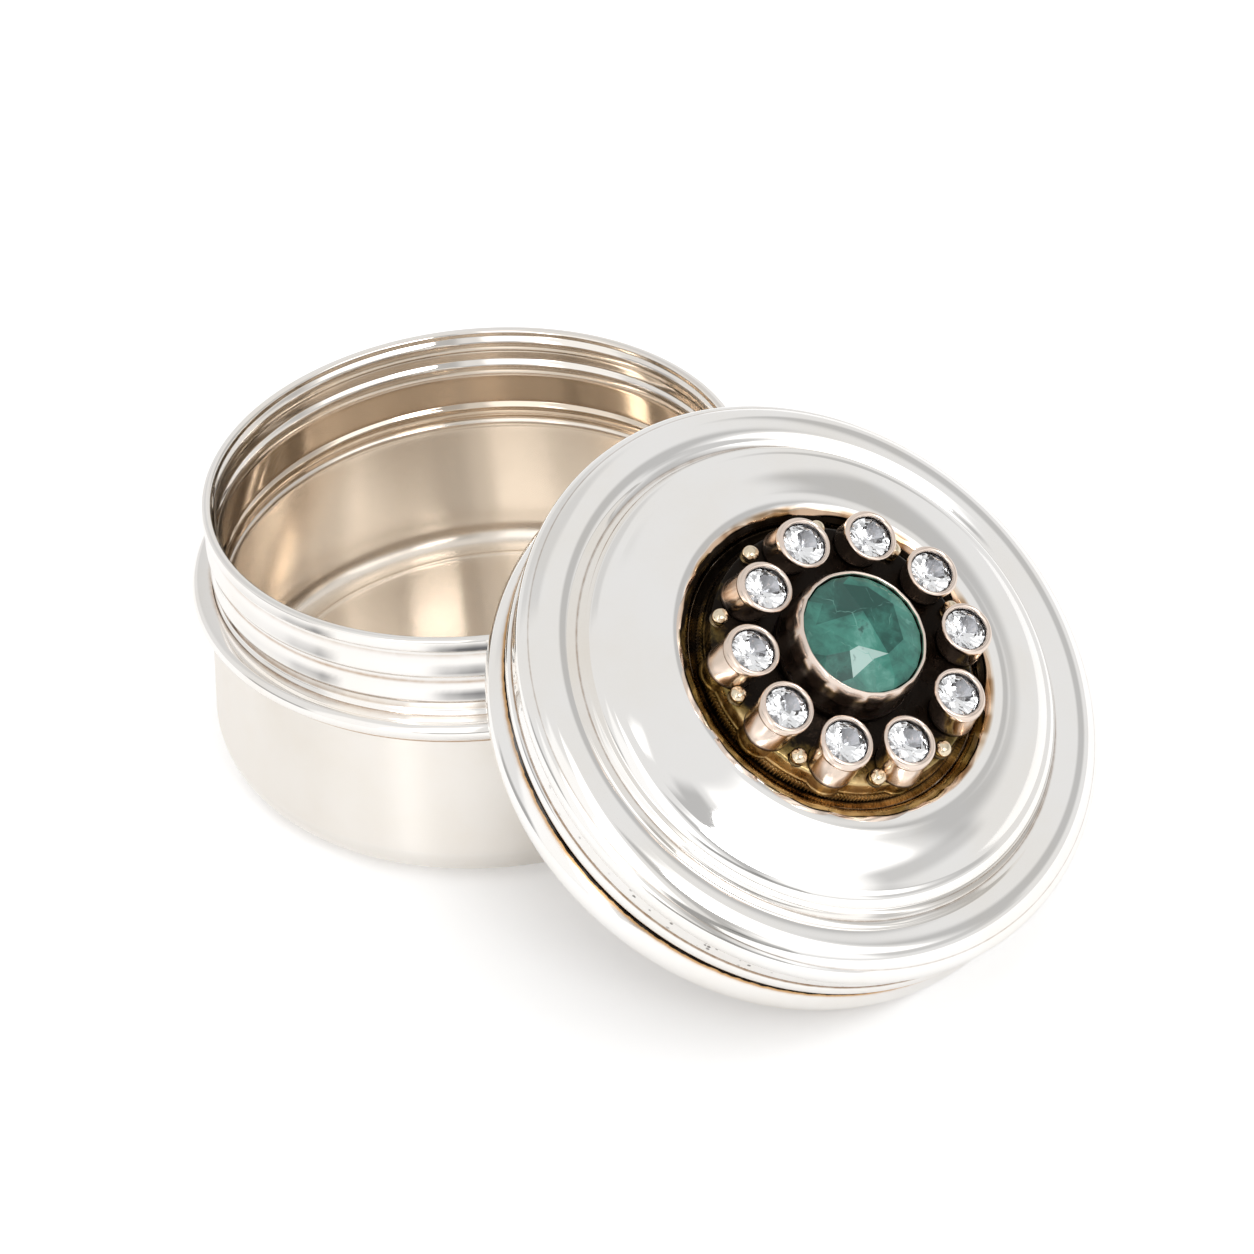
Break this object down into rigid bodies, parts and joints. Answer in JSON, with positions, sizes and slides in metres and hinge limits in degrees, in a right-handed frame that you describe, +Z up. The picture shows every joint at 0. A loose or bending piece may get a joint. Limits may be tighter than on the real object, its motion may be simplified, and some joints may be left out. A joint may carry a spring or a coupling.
{
  "type": "kumkum box",
  "caption": "Round silver kumkum box: a squat cup with a rolled neck and a stepped, domed lid set with a green stone in a ring of clear stones, leaning open on the rim",
  "frame": {"origin": "centre of the cup's flat base, on the table", "axes": "+Z up along the cup's axis, -Y towards the viewer, +X to the right; the lid leans at the front right"},
  "size_m": [0.0928, 0.0948, 0.0449],
  "materials": {
    "satin_silver": "satin silver with a faint warm tarnish",
    "polished_silver": "polished silver",
    "oxidised_silver": "oxidised, nearly black",
    "clear_stone": "faceted clear stone",
    "green_stone": "faceted deep green stone"
  },
  "bodies": {
    "cup": {"bowl": "satin_silver", "neck_ring": "satin_silver", "shoulder_ring": "satin_silver"},
    "lid": {"lid_shell": "polished_silver", "lid_collar": "polished_silver", "lid_hoop": "polished_silver", "setting_dish": "oxidised_silver", "setting_plate": "oxidised_silver", "centre_collet": "polished_silver", "centre_stone": "green_stone", "tube_setting_01": "polished_silver", "tube_setting_02": "polished_silver", "tube_setting_03": "polished_silver", "tube_setting_04": "polished_silver", "tube_setting_05": "polished_silver", "tube_setting_06": "polished_silver", "tube_setting_07": "polished_silver", "tube_setting_08": "polished_silver", "tube_setting_09": "polished_silver", "tube_setting_10": "polished_silver", "clear_stone_01": "clear_stone", "clear_stone_02": "clear_stone", "clear_stone_03": "clear_stone", "clear_stone_04": "clear_stone", "clear_stone_05": "clear_stone", "clear_stone_06": "clear_stone", "clear_stone_07": "clear_stone", "clear_stone_08": "clear_stone", "clear_stone_09": "clear_stone", "clear_stone_10": "clear_stone", "granule_01": "polished_silver", "granule_02": "polished_silver", "granule_03": "polished_silver", "granule_04": "polished_silver", "granule_05": "polished_silver", "granule_06": "polished_silver", "granule_07": "polished_silver", "granule_08": "polished_silver", "granule_09": "polished_silver", "granule_10": "polished_silver"}
  },
  "joints": [
    {"name": "lid_lift", "type": "slide", "parent": "cup", "child": "lid", "axis": [0, 0, 1], "range_m": [0, 0.045]}
  ]
}
